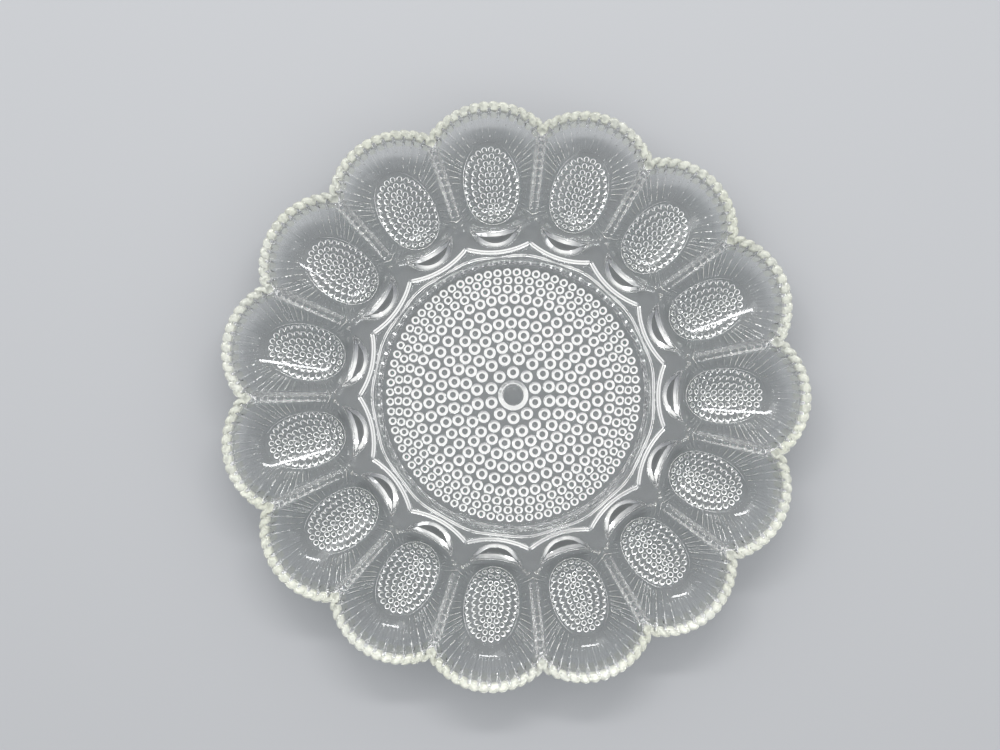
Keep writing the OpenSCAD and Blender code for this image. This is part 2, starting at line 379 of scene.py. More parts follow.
def seen_through(xy):
    """Where a look straight down at each place in the plan, bent by the glass, leaves the well."""
    p, n = top_skin(xy)
    down = np.array([0.0, 0.0, -1.0])
    cos_in = n[:, 2]
    cos_out = np.sqrt(1 - (1 - cos_in ** 2) / IOR ** 2)
    way = down / IOR + n * (cos_in / IOR - cos_out)[:, None]
    return bisect(grown_well, p + way * 25, p + way * 0.1)


def hob_middles():
    """Middles of a well's hobnails: concentric ovals as seen from above, laid on the glass."""
    places = []
    a = np.linspace(0, 2 * math.pi, 721)
    for half_x, half_y, phase in OVALS:
        x, y = half_x * np.cos(a), half_y * np.sin(a)
        run = run_along(x, y)
        count = 2 * int(run[-1] / HOB_GAP / 2 + PAIR_ROUND)
        at = (np.arange(count) + phase) * run[-1] / count
        places.append(np.column_stack([OVAL_X + np.interp(at, run, x), np.interp(at, run, y)]))
    p = seen_through(np.concatenate(places))
    u, w = well_frame(*p.T)
    return np.column_stack([run_at(u), np.arctan2(p[:, 1], -w) * np.interp(u, LINE_U, LINE_R)])


def hob_rise(s, y):
    """Height of the hobnails over the well's glass."""
    best = np.full_like(s, 99.0)
    for cs, cy in HOBS:
        best = np.minimum(best, np.hypot(s - cs, y - cy))
    return dome(best, HOB_D, HOB_CORE)


def dome(d, across, core):
    """Cone with a round cap of radius core and a soft foot, at the distance d from its axis."""
    ball = core / math.sin(FLANK)
    cap = np.sqrt(ball ** 2 - np.minimum(d, core) ** 2) - ball * math.cos(FLANK)
    high = cap + (across / 2 - np.maximum(d, core)) * math.tan(FLANK)
    return smax(high, np.zeros_like(high), HOB_SOFT)


# Reeds under a well: they fan out from the patch to the rim's teeth and over the crests.
# PANEL_SOFT, REED_FROM and REED_SOFT are shares of the patch's half width, the rest is in mm.
FAN_X = 101.0
PATCH_X = 100.5
PATCH_HALF_X = 20.4
PATCH_HALF_Y = 14.2
PANEL_H = 0.45
PANEL_SOFT = 0.022
REED_GAP = 3.7
REED_H = 0.95
REED_FROM, REED_SOFT = 0.07, 0.06
REED_NEAR_R, REED_NEAR_SOFT = 84.0, 3.0
REED_LEAST, REED_GAIN = 0.7, 0.3
GAIN_FROM_R, GAIN_RUN = 100, 30


def fan_table():
    """Angles about the fan's middle and the reeds' count at each."""
    phase = np.arange(0, TEETH / 2 + 0.01, 0.25)
    a = phase / (TEETH / 2) * IN_HALF
    angle = np.arctan2(BAND_R * np.sin(a), SCALLOP_X + BAND_R * np.cos(a) - FAN_X)
    r = np.arange(CORNER_R, 72, -REED_GAP / 8)[1:]
    more = np.arctan2(r * math.sin(HALF), r * math.cos(HALF) - FAN_X)
    count = TEETH / 2 + (CORNER_R - r) / REED_GAP
    return np.concatenate([angle, more]), np.concatenate([phase, count])


FAN_ANGLE, FAN_COUNT = fan_table()


def fan_phase(x, y):
    angle = np.abs(np.arctan2(y, x - FAN_X))
    return np.interp(angle, FAN_ANGLE, FAN_COUNT)


def patch_edge(x, y):
    """How far out of the patch's panel a point is, as a share of the patch's half width."""
    return np.hypot((x - PATCH_X) / PATCH_HALF_X, y / PATCH_HALF_Y) - 1


def reed_rise(x, y):
    """Height of the patch's panel and of the reeds round it."""
    edge = patch_edge(x, y)
    r = np.hypot(x, y)
    land = step(r - REED_NEAR_R, REED_NEAR_SOFT)
    growth = REED_LEAST + REED_GAIN * np.clip((r - GAIN_FROM_R) / GAIN_RUN, 0, 1)
    reeds = REED_H * step(edge - REED_FROM, REED_SOFT) * land * growth
    return PANEL_H * step(-edge, PANEL_SOFT) + reeds * reed(fan_phase(x, y))


def foot(x, y, z):
    """Signed distance to a crescent foot: its outline, its draft, its bevel and its flat end."""
    outer = np.hypot(x - FOOT_X, y) - FOOT_R
    flat = np.maximum(outer, HOLLOW_R - np.hypot(x - HOLLOW_X, y))
    wall = flat + FOOT_DRAFT * (1 - z / LAND_UNDER)
    bevel = (flat + FOOT_BEVEL - z) * math.sqrt(0.5)
    return smax(smax(wall, bevel, BEVEL_SOFT), -z, SOLE_SOFT)


def under_glass(x, y, z):
    t = (under_z(x, y) - z) * COS_T
    t = smin(t, grown_well(x, y, z), UNDER_SOFT)
    t = smin(t, grown_well(*neighbour(x, y), z), UNDER_SOFT)
    t = t - reed_rise(x, y)
    u, w = well_frame(x, y, z)
    across = np.arctan2(y, -w) * np.interp(u, LINE_U, LINE_R)
    t = t - hob_rise(run_at(u), across)
    return smin(t, foot(x, y, z), FOOT_SOFT)


def edge_out(x, y):
    """How far a point is outside the scallop's toothed outer edge."""
    return np.hypot(x - SCALLOP_X, y) - SCALLOP_R + EDGE_INSET + GAP_DEPTH * valley(x, y)


def glass(x, y, z):
    t = smax(over_glass(x, y, z), under_glass(x, y, z), NOSE_SOFT)
    return smax(t, edge_out(x, y), NOSE_ROUND)


# Solving a skin from its function.
def bisect(f, start, end):
    """Point on each segment from start, outside the glass, to end, inside it."""
    lo, hi = np.zeros(len(start)), np.ones(len(start))
    for _ in range(34):
        mid = (lo + hi) / 2
        p = start + (end - start) * mid[:, None]
        out = f(*p.T) > 0
        lo = np.where(out, mid, lo)
        hi = np.where(out, hi, mid)
    return start + (end - start) * ((lo + hi) / 2)[:, None]


def gradient(f, p):
    e = 0.01
    g = np.zeros_like(p)
    for i in range(3):
        d = np.zeros(3)
        d[i] = e
        g[:, i] = f(*(p + d).T) - f(*(p - d).T)
    return g / np.linalg.norm(g, axis=1)[:, None]


def at_height(xy, z):
    """The places in the plan at one height, or each at its own."""
    return np.column_stack([xy, np.broadcast_to(z, len(xy))])


def top_points(xy):
    return bisect(over_glass, at_height(xy, 42.0), at_height(xy, 4.0))


def under_points(xy):
    return bisect(under_glass, at_height(xy, -3.0), at_height(xy, under_z(*xy.T) + 1.5))


def top_skin(xy):
    p = top_points(xy)
    return p, gradient(over_glass, p)


def under_skin(xy):
    p = under_points(xy)
    p[:, 2] = np.maximum(p[:, 2], 0)
    return p, gradient(under_glass, p)


HOBS = hob_middles()


# Meshing a region in the plan, from its edge line and points inside it.
def thin(points, near, keep=()):
    """Points at least near apart, earlier ones first, and none close to the kept ones."""
    cells = {}
    out = []

    def clash(p):
        cx, cy = int(math.floor(p[0] / near)), int(math.floor(p[1] / near))
        for i in (cx - 1, cx, cx + 1):
            for j in (cy - 1, cy, cy + 1):
                for q in cells.get((i, j), ()):
                    if (p[0] - q[0]) ** 2 + (p[1] - q[1]) ** 2 < near * near:
                        return True
        return False

    def add(p):
        key = (int(math.floor(p[0] / near)), int(math.floor(p[1] / near)))
        cells.setdefault(key, []).append(p)

    for p in keep:
        add((float(p[0]), float(p[1])))
    for p in points:
        p = (float(p[0]), float(p[1]))
        if not clash(p):
            add(p)
            out.append(p)
    return out


def triangulate(loop, inner):
    """Places and triangles of a region with its edge line and the points inside it."""
    verts = [Vector(p) for p in loop] + [Vector(p) for p in inner]
    made = delaunay_2d_cdt(verts, [], [list(range(len(loop)))], 1, 1e-6)
    xy = np.array([(v.x, v.y) for v in made[0]])
    return xy, [tuple(f) for f in made[2]]


def turned(p, angle):
    """Points or normals turned round the platter's axis."""
    c, s = math.cos(angle), math.sin(angle)
    out = p.copy()
    out[:, 0] = p[:, 0] * c - p[:, 1] * s
    out[:, 1] = p[:, 0] * s + p[:, 1] * c
    return out


def make_piece(name, parts):
    """One object from skins: each is (points in mm, normals, faces, whether it faces down)."""
    points, normals, faces = [], [], []
    start = 0
    for p, n, fs, flip in parts:
        points.append(p)
        normals.append(n)
        for f in fs:
            f = [start + i for i in f]
            faces.append(tuple(reversed(f)) if flip else tuple(f))
        start += len(p)
    points = np.concatenate(points)
    normals = np.concatenate(normals)
    mesh = bpy.data.meshes.new(name)
    mesh.from_pydata((points * MM).tolist(), [], faces)
    mesh.polygons.foreach_set("use_smooth", np.ones(len(faces), bool))
    mesh.update()
    mesh.normals_split_custom_set_from_vertices(normals.tolist())
    obj = bpy.data.objects.new(name, mesh)
    bpy.context.scene.collection.objects.link(obj)
    return obj


def ring(count, rows, middle=False):
    """Faces of a polar grid: closed rows of count points, after one middle point if it has one."""
    faces = []
    start = 0
    if middle:
        faces += [(0, 1 + i, 1 + (i + 1) % count) for i in range(count)]
        start = 1
    for k in range(rows - 1):
        a, b = start + k * count, start + (k + 1) * count
        for i in range(count):
            j = (i + 1) % count
            faces.append((a + i, b + i, b + j, a + j))
    return faces


def arc(x, radius, angles):
    """Points round a middle on the well's axis, by angles from the way outwards."""
    return np.column_stack([x + radius * np.cos(angles), radius * np.sin(angles)])


def near_arc(x, radius, angles):
    """The same, by angles from the way to the platter's middle."""
    return np.column_stack([x - radius * np.cos(angles), radius * np.sin(angles)])


def circle(radius, count):
    """Points of a circle, beginning at -12 degrees so that they meet the lobes' ends."""
    return arc(0, radius, -HALF + 2 * math.pi * np.arange(count) / count)


def grid(x_from, x_to, y_from, y_to, gap):
    x, y = np.meshgrid(np.arange(x_from, x_to, gap), np.arange(y_from, y_to, gap))
    return np.column_stack([x.ravel(), y.ravel()])


# Shared edge lines.
LOBE_STEPS = 28
LOBE_HALF = math.atan2(LOBE_CUSP_R * math.sin(HALF), LOBE_X - LOBE_CUSP_R * math.cos(HALF))
LOBE_TURNS = np.linspace(-LOBE_HALF, LOBE_HALF, LOBE_STEPS * 2 + 1)
TOOTH_STEPS = 16
RIM_STEPS = TEETH * TOOTH_STEPS
TAU = np.linspace(-1, 1, RIM_STEPS + 1)


def lobe_line():
    """The ridge's outer edge over one well, from -12 to +12 degrees."""
    return near_arc(LOBE_X, LOBE_R, np.linspace(-LOBE_HALF, LOBE_HALF, LOBE_STEPS + 1))


def lobe_level(depth, turns):
    """The line that lies at a depth inside the lobes' circles."""
    lo, hi = np.full(len(turns), 60.0), np.full(len(turns), 82.0)
    lo, hi = halve(lambda r: lobe_out(r * np.cos(turns), r * np.sin(turns)) > depth, lo, hi)
    return arc(0, lo, turns)


def band_line():
    """The line between a well and its rim scallop."""
    return arc(SCALLOP_X, BAND_R + seam_cut(TAU * TEETH / 2), TAU * IN_HALF)


def wedge_line(radii, side):
    """Points on the plane between two wells."""
    return np.column_stack([radii * math.cos(HALF), side * radii * math.sin(HALF)])


def well_loop(radii):
    """Edge of one well's region, anticlockwise from the ridge's lower cusp."""
    sides = wedge_line(radii, -1), wedge_line(radii[::-1], 1)
    return np.concatenate([sides[0], band_line(), sides[1], lobe_line()[::-1]])


def inside_well(p, margin):
    """Which points are inside one well's region, at least margin from its edge."""
    x, y = p[:, 0], p[:, 1]
    ok = LOBE_R - np.hypot(x - LOBE_X, y) > margin
    edge = BAND_R + seam_cut(np.arctan2(y, x - SCALLOP_X) / IN_HALF * TEETH / 2)
    ok &= (edge - np.hypot(x - SCALLOP_X, y) > margin) | (x < SCALLOP_X)
    return ok & (x * math.sin(HALF) - np.abs(y) * math.cos(HALF) > margin)


def ray_out(f, angles, far):
    """Distance along each ray from the fan's middle at which f turns positive."""
    lo, hi = np.zeros(len(angles)), np.full(len(angles), far)
    lo, hi = halve(lambda d: f(*arc(FAN_X, d, angles).T) > 0, lo, hi)
    return (lo + hi) / 2


def opening(x, y):
    """Positive outside the well's opening, in the plan."""
    return well_out(x, y, LAND_Z + (np.hypot(x, y) - WELL_NEAR_R) * SLOPE, 0)


# Where the skins get their points: distances in mm, or shares of the way between two lines.
BESIDE_OPENING = (
    0, -0.25, 0.25, -0.55, 0.55, -0.95, 0.9, -1.5, 1.4, -2.2, -3.1, -4.2, -5.6, -7.4
)
IN_OPENING = (0.62, 0.5, 0.38, 0.26, 0.15, 0.07)
TOP_BESIDE_LOBE = (0.25, 0.55, 0.9, 1.5)
PIT_ROWS = (0.5, 1.1, 1.7, 2.1, 2.5)
BEAD_ROWS = (-1.13, -1.05, -0.97, -0.6, -0.12, -0.03, 0.03, 0.12, 0.6, 0.97, 1.05, 1.13)
HOB_ROWS = (0.5, 0.9, 1.05, 1.3, 1.5, 1.6, 1.72)
FOOT_ROWS = (-0.9, -0.45, -0.1, 0.3, 0.8, 1.3, 1.7, 2.1, 2.6, 3.3)
REED_ROWS = (0.0, 0.05, 0.1, 0.16, 0.24, 0.33, 0.43, 0.53, 0.63, 0.72, 0.8, 0.87, 0.93, 0.97)
UNDER_BESIDE_LOBE = (0.2, 0.4)
PATCH_ROWS = (0.97, 0.985, 1.0, 1.015, 1.03)
RIM_ROWS = np.array([0, 0.05, 0.1, 0.15, 0.2, 0.26, 0.32, 0.38, 0.44, 0.52])
NOSE_ROWS = np.linspace(90, -90, 19)[1:-1]
EDGE_CLEAR = 0.16


def well_top_mesh():
    """The top of one well's region."""
    radii = np.concatenate([
        np.arange(LOBE_CUSP_R + 0.6, 79, 0.9),
        np.arange(79.2, CORNER_R - 2.6, 0.8),
        np.arange(CORNER_R - 2.4, CORNER_R - 0.2, 0.35),
    ])
    loop = well_loop(radii)
    angles = np.linspace(-math.pi, math.pi, 169)[:-1]
    edge = ray_out(opening, angles, 60.0)
    points = [arc(FAN_X, edge + d, angles) for d in BESIDE_OPENING]
    for share in IN_OPENING:
        skip = 1 if share > 0.3 else 2
        points.append(arc(FAN_X, edge[::skip] * share, angles[::skip]))
    points.append(np.array([[FAN_X, 0.0]]))
    points += [near_arc(LOBE_X, LOBE_R - d, LOBE_TURNS) for d in TOP_BESIDE_LOBE]
    for r in PIT_ROWS:
        for side in (-1, 1):
            points.append(wedge_line(np.array([PIT_X]), side) + arc(0, r, full_turn(24)))
    points.append(grid(66, 136, -28.8, 28.9, 1.6))
    points = np.concatenate(points)
    points = points[inside_well(points, EDGE_CLEAR)]
    xy, faces = triangulate(loop, thin(points, 0.2, loop))
    p, n = top_skin(xy)
    return p, n, faces, False


def out_of_region(x, y):
    return np.where(inside_well(np.column_stack([x, y]), 0), -1.0, 1.0)


def surface_xy(s, y):
    """The plan of a place on the grown well: s along its lower line and y round it."""
    u = np.interp(s, LINE_S, LINE_U)
    r = np.interp(s, LINE_S, LINE_R)
    a = y / r
    w = -r * np.cos(a) + AXIS_RISE
    return np.column_stack([WELL_NEAR_R + u * COS_T - w * SIN_T, r * np.sin(a)])


def well_under_mesh():
    """The underside of one well's region, with its hobnails, reeds, foot and bead."""
    depths = LOBE_BEAD + np.array(BEAD_ROWS)
    cusp = np.array([lobe_level(d, np.array([HALF])) for d in depths])
    radii = np.unique(np.concatenate([
        np.arange(LOBE_CUSP_R + 5, 82, 0.9),
        np.hypot(cusp[:, 0, 0], cusp[:, 0, 1]),
        np.arange(CORNER_R, 82.5, -REED_GAP / 8)[1:],
    ]))
    loop = well_loop(radii)
    points = []
    turns = full_turn(16)
    for s, y in HOBS:
        points.append(surface_xy(np.array([s]), np.array([y])))
        points += [surface_xy(s + d * np.cos(turns), y + d * np.sin(turns)) for d in HOB_ROWS]
    # The crescent foot, by lines beside its outline.
    around = np.linspace(-1, 1, 61)
    a_out = around * math.atan2(FOOT_W / 2, FOOT_X - FOOT_NEAR_R - FOOT_BOW)
    a_in = around * math.atan2(FOOT_W / 2, HOLLOW_X - FOOT_NEAR_R - FOOT_BOW)
    for d in FOOT_ROWS:
        points.append(near_arc(FOOT_X, FOOT_R - d, a_out))
        points.append(near_arc(HOLLOW_X, HOLLOW_R + d, a_in))
    # Rays along the reeds' crowns, flanks and valleys.
    count = np.arange(0, FAN_COUNT[-1], 1 / 8)
    angles = np.interp(count, FAN_COUNT, FAN_ANGLE)
    angles = angles[angles < math.radians(150)]
    behind = np.linspace(math.radians(151), math.pi, 16)
    angles = np.concatenate([-behind[:-1][::-1], -angles[:0:-1], angles, behind])
    start = ray_out(patch_edge, angles, 60.0)
    end = ray_out(out_of_region, angles, 60.0)
    points += [arc(FAN_X, start + (end - start) * share, angles) for share in REED_ROWS]
    points += [near_arc(LOBE_X, LOBE_R - d, LOBE_TURNS) for d in UNDER_BESIDE_LOBE]
    a = full_turn(120)
    for share in PATCH_ROWS:
        x = PATCH_X + PATCH_HALF_X * share * np.cos(a)
        points.append(np.column_stack([x, PATCH_HALF_Y * share * np.sin(a)]))
    points.append(grid(66, 136, -28.9, 29, 1.7))
    points = np.concatenate(points)
    points = points[inside_well(points, EDGE_CLEAR)]
    # The bead's lines lie closer together than the rest, so they are thinned on their own.
    fine = np.concatenate([lobe_level(d, np.linspace(-HALF, HALF, 97)) for d in depths])
    fine = thin(fine[inside_well(fine, 0.06)], 0.05, loop)
    edge = [tuple(p) for p in loop] + fine
    xy, faces = triangulate(loop, fine + thin(points, 0.15, edge))
    p, n = under_skin(xy)
    return p, n, faces, True


def core_z(xy):
    """A height inside the glass, halfway between its top and its underside."""
    return (top_points(xy)[:, 2] + under_points(xy)[:, 2]) / 2


def rim_row(xy, from_z, at_edge):
    """Points and normals straight over or under places in the plan, from outside at from_z."""
    if at_edge:
        return top_skin(xy) if from_z > 0 else under_skin(xy)
    p = bisect(glass, at_height(xy, from_z), at_height(xy, core_z(xy)))
    return p, gradient(glass, p)


def rim_mesh():
    """Skin of one rim scallop, from its top's inner edge round the nose to its underside's."""
    inner = band_line()
    way = arc(SCALLOP_X, SCALLOP_R, TAU * OUT_HALF) - inner
    rows = [rim_row(inner + way * share, 44.0, share == 0) for share in RIM_ROWS]
    xy = inner + way * RIM_ROWS[-1]
    core = at_height(xy, core_z(xy))
    out = way / np.linalg.norm(way, axis=1)[:, None]
    for a in np.radians(NOSE_ROWS):
        p = bisect(glass, core + at_height(out * math.cos(a), math.sin(a)) * 9, core)
        rows.append((p, gradient(glass, p)))
    rows += [rim_row(inner + way * share, -4.0, share == 0) for share in RIM_ROWS[::-1]]
    n = RIM_STEPS + 1
    faces = []
    for r in range(len(rows) - 1):
        for i in range(n - 1):
            a, b = r * n + i, (r + 1) * n + i
            faces.append((a, b, b + 1, a + 1))
    points, normals = zip(*rows)
    return np.concatenate(points), np.concatenate(normals), faces, False


# The centre: dish, its hobnails and button, and the ridge.
SIDES = WELLS * LOBE_STEPS
# Rings of hobnails: radius, count, width of one and the first one's turn in degrees.
RINGS = [
    (10.9, 10, 6.1, 18.5), (17.4, 16, 6.1, 13.7), (23.1, 23, 6.0, 9.25), (28.7, 29, 6.0, 5.68),
    (34.4, 36, 5.9, 1.67), (40.2, 40, 5.9, 5.17), (46.0, 52, 5.5, 6.09), (50.7, 60, 4.9, 3.15),
    (54.7, 68, 4.5, 2.61), (58.5, 80, 4.3, 2.89),
]
CORE_SHARE = 0.26
BUTTON_R = 7.2
BUTTON_FACE_R = 4.7
BUTTON_SOFT = 0.2
DIMPLE_DEPTH = 0.5
DIMPLE_EDGE = 1.0

# Where the centre's skins get their points: radii in mm, or shares.
DISH_TOP_RADII = (
    8, 16, 24, 32, 40, 48, 55, 60, 60.9, 61.2, 61.5, 61.9, 62.3, 62.65, 63.0
)
BUTTON_RADII = (1.6, 3.0, 3.6, 4.0, 4.4, 4.8, 5.2, 5.7, 6.3, 6.8, 7.15, 7.5)
RING_HOB_ROWS = (0.28, 0.5, 0.54, 0.75, 0.92, 0.98, 1.04)
DISH_EDGE_RADII = (60.8, 61.6, 62.3)
RIDGE_TOP_RADII = (
    63.0, 63.3, 63.6, 63.9, 64.2, 64.4, 64.6, 64.8, 65.0, 65.2, 65.6, 66.0, 66.4
)
RIDGE_TOP_SHARES = (0.2, 0.4, 0.58, 0.72, 0.84, 0.92, 1.0)
RIDGE_UNDER_RADII = [63.0, 63.4, 63.7] + [63.9 + 0.1 * i for i in range(27)]
RIDGE_UNDER_SHARES = (0.06, 0.12, 0.19, 0.27, 0.36, 0.47, 0.6, 0.74, 0.87, 1.0)


def in_well(x, y):
    """The same point turned into the first well's share of the platter."""
    a = np.arctan2(y, x)
    a = a - 2 * HALF * np.round(a / (2 * HALF))
    r = np.hypot(x, y)
    return r * np.cos(a), r * np.sin(a)


def dish_rise(x, y):
    """How far the dish's hobnails and button hang below its underside."""
    r = np.hypot(x, y)
    a = np.arctan2(y, x)
    out = np.zeros_like(r)
    for radius, count, across, turn in RINGS:
        pitch = 2 * math.pi / count
        t = a - math.radians(turn)
        t = t - pitch * np.round(t / pitch)
        d = np.sqrt(r * r + radius * radius - 2 * r * radius * np.cos(t))
        out = np.maximum(out, dome(d, across, across * CORE_SHARE))
    high = (BUTTON_R - BUTTON_FACE_R) * math.tan(FLANK)
    button = smin((BUTTON_R - r) * math.tan(FLANK), np.full_like(r, high), BUTTON_SOFT)
    dimple = DIMPLE_DEPTH * step(BUTTON_FACE_R - DIMPLE_EDGE - r, DIMPLE_EDGE)
    return np.maximum(out, np.maximum(button - dimple, 0))


def centre_over(x, y, z):
    return z - top_z(*in_well(x, y))


def centre_under(x, y, z):
    return under_z(*in_well(x, y)) - z - dish_rise(x, y)


def centre_top_skin(xy, faces):
    p = at_height(xy, top_z(*in_well(*xy.T)))
    return p, gradient(centre_over, p), faces, False


def centre_under_skin(xy, faces):
    p = at_height(xy, under_z(*in_well(*xy.T)) - dish_rise(*xy.T))
    return p, gradient(centre_under, p), faces, True


def dish_parts():
    middle = np.array([[0.0, 0.0]])
    xy = np.concatenate([middle] + [circle(r, SIDES) for r in DISH_TOP_RADII])
    top = centre_top_skin(xy, ring(SIDES, len(DISH_TOP_RADII), middle=True))
    points = [middle] + [circle(r, 40) for r in BUTTON_RADII]
    for radius, count, across, turn in RINGS:
        for k in range(count):
            a = math.radians(turn) + 2 * math.pi * k / count
            c = np.array([[radius * math.cos(a), radius * math.sin(a)]])
            round_it = arc(0, 1, full_turn(20) + a)
            points.append(c)
            points += [c + across / 2 * share * round_it for share in RING_HOB_ROWS]
    points += [circle(r, SIDES // 2) for r in DISH_EDGE_RADII]
    loop = circle(DISH_R, SIDES)
    xy, faces = triangulate(loop, thin(np.concatenate(points), 0.18, loop))
    return [top, centre_under_skin(xy, faces)]


def ridge_rows(radii, shares):
    """Rings of fixed radii from the dish's edge, then at shares of the way to the lobes."""
    lobe = lobe_line()[:-1]
    edge = np.concatenate([turned(lobe, 2 * HALF * k) for k in range(WELLS)])
    start = circle(radii[-1], SIDES)
    rows = [circle(r, SIDES) for r in radii] + [start + (edge - start) * s for s in shares]
    return np.concatenate(rows), ring(SIDES, len(rows))


def ridge_parts():
    top = centre_top_skin(*ridge_rows(RIDGE_TOP_RADII, RIDGE_TOP_SHARES))
    return [top, centre_under_skin(*ridge_rows(RIDGE_UNDER_RADII, RIDGE_UNDER_SHARES))]


# Materials.
# Painted reflection on the rim band. The glass is clear from 2.6 mm below its sloping top line
# downwards. From 1.3 mm below that line upwards, only a share of 0.4 to 0.66 stays clear and the
# rest is diffuse cream.
PAINTED_REFLECTION_FROM = 2.6
PAINTED_REFLECTION_FULL = 1.3
PAINTED_REFLECTION_CLEAR = (0.4, 0.66)
SHADOW_TINT = (0.62, 0.63, 0.63, 1.0)


def add_noise(nodes, scale):
    noise = nodes.new("ShaderNodeTexNoise")
    noise.inputs["Scale"].default_value = scale
    noise.inputs["Detail"].default_value = 2.0
    return noise


def add_ramp(nodes, first, last):
    """A colour ramp between two stops, each a position and a colour."""
    ramp = nodes.new("ShaderNodeValToRGB")
    for element, (position, colour) in zip(ramp.color_ramp.elements, (first, last)):
        element.position = position
        element.color = colour
    return ramp


def add_math(nodes, kind, operation, second=None):
    node = nodes.new(kind)
    node.operation = operation
    if second is not None:
        node.inputs[1].default_value = second
    return node


def add_map(nodes, from_min, from_max, to_min):
    node = nodes.new("ShaderNodeMapRange")
    node.inputs["From Min"].default_value = from_min
    node.inputs["From Max"].default_value = from_max
    node.inputs["To Min"].default_value = to_min
    return node


def glass_material(name, roughness, tint, thin_tint):
    """Clear glass, which shadow rays and diffuse rays pass straight through with a grey tint."""
    mat = bpy.data.materials.new(name)
    mat.use_nodes = True
    nodes, links = mat.node_tree.nodes, mat.node_tree.links
    nodes.clear()
    out = nodes.new("ShaderNodeOutputMaterial")
    shader = nodes.new("ShaderNodeBsdfPrincipled")
    shader.inputs["Transmission Weight"].default_value = 1.0
    shader.inputs["IOR"].default_value = IOR
    shader.inputs["Roughness"].default_value = roughness
    place = nodes.new("ShaderNodeTexCoord")
    noise = add_noise(nodes, 28.0)
    ramp = add_ramp(nodes, (0.35, tint), (0.7, thin_tint))
    links.new(place.outputs["Object"], noise.inputs["Vector"])
    links.new(noise.outputs["Fac"], ramp.inputs["Fac"])
    links.new(ramp.outputs["Color"], shader.inputs["Base Color"])
    clear = nodes.new("ShaderNodeBsdfTransparent")
    clear.inputs["Color"].default_value = SHADOW_TINT
    path = nodes.new("ShaderNodeLightPath")
    mix = nodes.new("ShaderNodeMixShader")
    either = add_math(nodes, "ShaderNodeMath", "MAXIMUM")
    links.new(path.outputs["Is Shadow Ray"], either.inputs[0])
    links.new(path.outputs["Is Diffuse Ray"], either.inputs[1])
    links.new(either.outputs[0], mix.inputs[0])
    links.new(shader.outputs[0], mix.inputs[1])
    links.new(clear.outputs[0], mix.inputs[2])
    links.new(mix.outputs[0], out.inputs["Surface"])
    return mat


def paint_reflection_on_top(mat):
    """Paints a reflection near the rim's top: the glass there turns partly diffuse and cream,
    standing in for the light that the band reflects.
    """
    nodes, links = mat.node_tree.nodes, mat.node_tree.links
    place = nodes.new("ShaderNodeTexCoord")
    flat = add_math(nodes, "ShaderNodeVectorMath", "MULTIPLY", (1.0, 1.0, 0.0))
    radius = add_math(nodes, "ShaderNodeVectorMath", "LENGTH")
    rise = add_math(nodes, "ShaderNodeMath", "MULTIPLY", SLOPE)
    split = nodes.new("ShaderNodeSeparateXYZ")
    over = add_math(nodes, "ShaderNodeMath", "SUBTRACT")
    top = (LAND_Z - SLOPE * WELL_NEAR_R) * MM
    share = add_map(nodes, top - PAINTED_REFLECTION_FROM * MM, top - PAINTED_REFLECTION_FULL * MM, 1.0)
    # Noise that makes the painted reflection uneven.
    uneven_reflection = add_noise(nodes, 400.0)
    clear = add_map(nodes, 0.38, 0.62, PAINTED_REFLECTION_CLEAR[0])
    clear.inputs["To Max"].default_value = PAINTED_REFLECTION_CLEAR[1]
    links.new(place.outputs["Object"], uneven_reflection.inputs["Vector"])
    links.new(uneven_reflection.outputs["Fac"], clear.inputs["Value"])
    links.new(clear.outputs["Result"], share.inputs["To Max"])
    links.new(place.outputs["Object"], flat.inputs[0])
    links.new(flat.outputs["Vector"], radius.inputs[0])
    links.new(radius.outputs["Value"], rise.inputs[0])
    links.new(place.outputs["Object"], split.inputs[0])
    links.new(split.outputs["Z"], over.inputs[0])
    links.new(rise.outputs[0], over.inputs[1])
    links.new(over.outputs[0], share.inputs["Value"])
    links.new(share.outputs["Result"], nodes["Principled BSDF"].inputs["Transmission Weight"])


CLEAR = glass_material(
    "clear_glass", 0.015, (0.955, 0.97, 0.965, 1.0), (0.985, 0.99, 0.988, 1.0)
)
# Cream rim glass: its tint is the glass's own, and it is also the colour of the painted reflection
# near the rim's top.
RIM = glass_material("rim_glass", 0.08, (0.9, 0.915, 0.77, 1.0), (0.94, 0.955, 0.85, 1.0))
paint_reflection_on_top(RIM)


def finish_piece(obj, mat, nodes):
    obj.data.materials.append(mat)
    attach(obj, "root")
    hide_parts(*nodes)


def build_glass():
    dish = make_piece("dish_glass", dish_parts())
    finish_piece(dish, CLEAR, ["centre_dish", "centre_button", "dish_hobnails"])
    ridge = make_piece("ridge_glass", ridge_parts())
    finish_piece(ridge, CLEAR, ["dish_ridge"])
    wells = [well_top_mesh(), well_under_mesh()]
    rim = rim_mesh()
    for k in range(WELLS):
        turn = 2 * HALF * k
        label = f"{k + 1:02d}"
        parts = [(turned(p, turn), turned(n, turn), f, flip) for p, n, f, flip in wells]
        well = make_piece("well_glass_" + label, parts)
        names = ["egg_well_" + label, "well_hobnails_" + label, "crescent_feet"]
        finish_piece(well, CLEAR, names)
        p, n, f, flip = rim
        edge = make_piece("rim_glass_" + label, [(turned(p, turn), turned(n, turn), f, flip)])
        finish_piece(edge, RIM, ["rim_scallop_" + label])


build_glass()


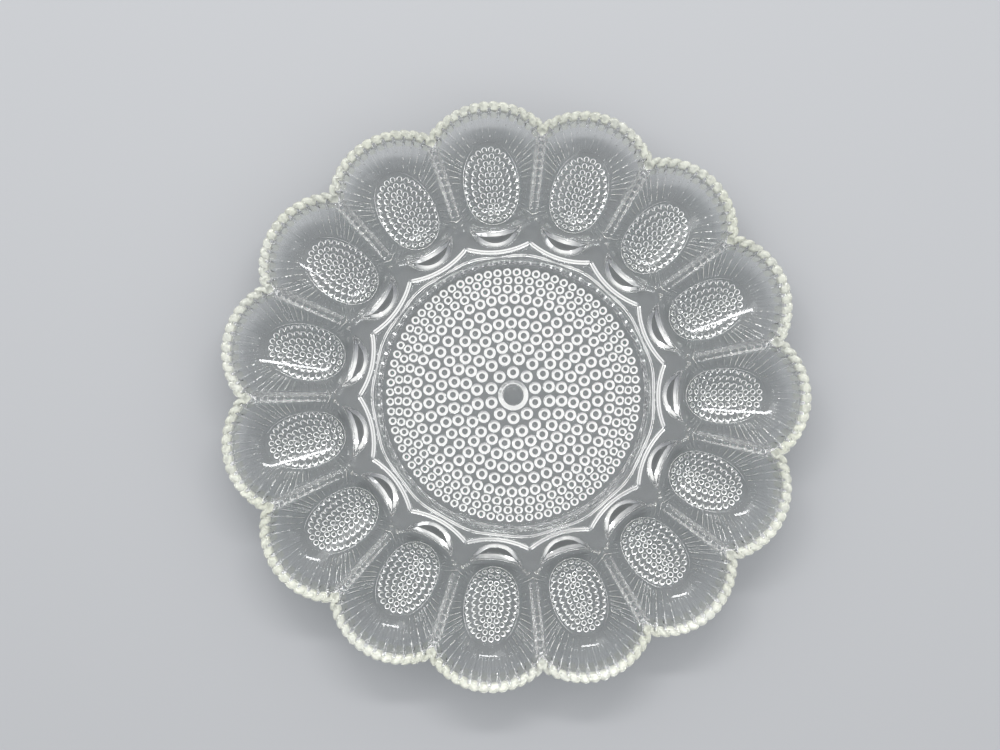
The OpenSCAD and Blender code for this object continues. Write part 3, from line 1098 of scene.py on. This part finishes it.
# Floor, light and camera.
def floor_material():
    mat = bpy.data.materials.new("floor")
    mat.use_nodes = True
    nodes, links = mat.node_tree.nodes, mat.node_tree.links
    shader = nodes["Principled BSDF"]
    shader.inputs["Roughness"].default_value = 0.85
    shader.inputs["Specular IOR Level"].default_value = 0.2
    noise = add_noise(nodes, 3.0)
    ramp = add_ramp(nodes, (0.0, (0.52, 0.53, 0.55, 1)), (1.0, (0.54, 0.55, 0.57, 1)))
    links.new(noise.outputs["Fac"], ramp.inputs["Fac"])
    links.new(ramp.outputs["Color"], shader.inputs["Base Color"])
    return mat


def add_floor():
    mesh = bpy.data.meshes.new("floor")
    s = 6.0
    mesh.from_pydata([(-s, -s, 0), (s, -s, 0), (s, s, 0), (-s, s, 0)], [], [(0, 1, 2, 3)])
    floor = bpy.data.objects.new("floor", mesh)
    bpy.context.scene.collection.objects.link(floor)
    mesh.materials.append(floor_material())


def add_lamp(name, place, size, power):
    """A rectangular lamp, aimed at the platter's middle."""
    data = bpy.data.lights.new(name, "AREA")
    data.shape = "RECTANGLE"
    data.size = size[0]
    data.size_y = size[1]
    data.energy = power
    lamp = bpy.data.objects.new(name, data)
    lamp.location = place
    lamp.rotation_mode = "QUATERNION"
    lamp.rotation_quaternion = (-Vector(place)).to_track_quat("-Z", "Y")
    bpy.context.scene.collection.objects.link(lamp)


def set_world():
    """A studio that is brightest upwards and towards +Y, where the strip lamp is."""
    world = bpy.data.worlds.new("studio")
    bpy.context.scene.world = world
    world.use_nodes = True
    nodes, links = world.node_tree.nodes, world.node_tree.links
    back = nodes["Background"]
    place = nodes.new("ShaderNodeTexCoord")
    along = add_math(nodes, "ShaderNodeVectorMath", "DOT_PRODUCT", (0.0, 0.6, 0.8))
    ramp = add_ramp(nodes, (0.05, (0.28, 0.29, 0.31, 1)), (0.82, (1.0, 1.0, 0.99, 1)))
    middle = ramp.color_ramp.elements.new(0.62)
    middle.color = (0.62, 0.63, 0.64, 1)
    links.new(place.outputs["Generated"], along.inputs[0])
    links.new(along.outputs["Value"], ramp.inputs["Fac"])
    links.new(ramp.outputs["Color"], back.inputs["Color"])
    back.inputs["Strength"].default_value = 1.0


def add_camera():
    """The photo's camera: almost straight above, with the platter's +Y up in the picture."""
    data = bpy.data.cameras.new("camera")
    data.lens = 151.5
    data.sensor_width = 36.0
    cam = bpy.data.objects.new("camera", data)
    place = Vector((-0.0419, 0.1223, 2.0))
    aim = Vector((-0.0063, 0.0096, 0.0035))
    back = (place - aim).normalized()
    right = Vector((0, 1, 0)).cross(back).normalized()
    up = back.cross(right)
    cam.location = place
    cam.rotation_mode = "QUATERNION"
    cam.rotation_quaternion = Matrix((right, up, back)).transposed().to_quaternion()
    bpy.context.scene.collection.objects.link(cam)
    bpy.context.scene.camera = cam


def set_view():
    scene = bpy.context.scene
    scene.view_settings.view_transform = "Standard"
    scene.cycles.transparent_max_bounces = 32
    scene.cycles.transmission_bounces = 24
    scene.cycles.max_bounces = 24
    scene.cycles.glossy_bounces = 12


add_floor()
add_lamp("key", (-0.5, 0.6, 1.1), (0.7, 0.5), 2.0)
add_lamp("fill", (0.9, -0.3, 0.9), (0.5, 0.8), 1.0)
add_lamp("strip", (0.0, 0.66, 1.0), (0.85, 0.12), 5.5)
set_world()
add_camera()
set_view()
